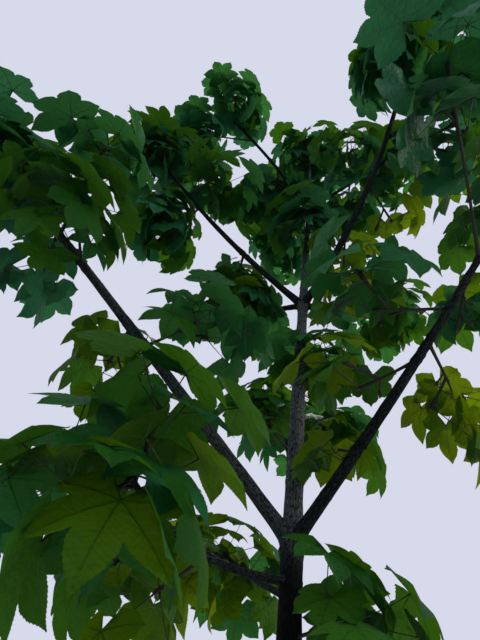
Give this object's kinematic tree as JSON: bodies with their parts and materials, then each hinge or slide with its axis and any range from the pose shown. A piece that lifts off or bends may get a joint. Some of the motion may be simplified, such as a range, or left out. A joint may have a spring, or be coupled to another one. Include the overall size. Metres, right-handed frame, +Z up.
{
  "type": "castor aralia tree",
  "caption": "Young castor aralia tree in summer leaf: straight tapering trunk with root flare, tiers of rising boughs, and masses of large lobed leaves on long stalks.",
  "frame": {"origin": "centre of the flat cut under the trunk, at ground level", "axes": "+Z up along the trunk; +Y away from the side that the picture shows, +X to that view's right"},
  "size_m": [3.1151, 3.1286, 6.6053],
  "materials": {
    "trunk_bark": "rough grey-brown bark, finely fissured lengthways",
    "bough_bark": "dull dark brown bark",
    "foliage": "satin green leaf"
  },
  "bodies": {
    "root": {"trunk": "trunk_bark", "bough_first_back": "bough_bark", "bough_first_left": "bough_bark", "bough_first_right": "bough_bark", "bough_low_back": "bough_bark", "bough_low_left": "bough_bark", "bough_second_back": "bough_bark", "bough_second_left": "bough_bark", "bough_second_right": "bough_bark", "bough_second_side": "bough_bark", "bough_third_back": "bough_bark", "bough_third_left": "bough_bark", "bough_third_right": "bough_bark", "leaves_first_back_side_1": "foliage", "leaves_first_back_side_2": "foliage", "leaves_first_back_tip": "foliage", "leaves_first_left_side_1": "foliage", "leaves_first_left_side_2": "foliage", "leaves_first_left_side_3": "foliage", "leaves_first_left_side_4": "foliage", "leaves_first_left_side_5": "foliage", "leaves_first_left_tip": "foliage", "leaves_first_right_side_1": "foliage", "leaves_first_right_side_2": "foliage", "leaves_first_right_side_3": "foliage", "leaves_first_right_side_4": "foliage", "leaves_first_right_side_5": "foliage", "leaves_first_right_side_6": "foliage", "leaves_first_right_tip": "foliage", "leaves_leader": "foliage", "leaves_low_back_tip": "foliage", "leaves_low_left_side_1": "foliage", "leaves_low_left_tip": "foliage", "leaves_second_back_tip": "foliage", "leaves_second_left_side_1": "foliage", "leaves_second_left_side_2": "foliage", "leaves_second_left_side_3": "foliage", "leaves_second_left_tip": "foliage", "leaves_second_right_side_1": "foliage", "leaves_second_right_side_2": "foliage", "leaves_second_right_side_3": "foliage", "leaves_second_right_side_4": "foliage", "leaves_second_right_tip": "foliage", "leaves_second_side_side_1": "foliage", "leaves_second_side_tip": "foliage", "leaves_third_back_tip": "foliage", "leaves_third_left_side_1": "foliage", "leaves_third_left_side_2": "foliage", "leaves_third_left_tip": "foliage", "leaves_third_right_side_1": "foliage", "leaves_third_right_side_2": "foliage", "leaves_third_right_tip": "foliage", "leaves_trunk_low_right": "foliage", "leaves_trunk_middle": "foliage", "leaves_trunk_upper": "foliage"}
  },
  "joints": []
}
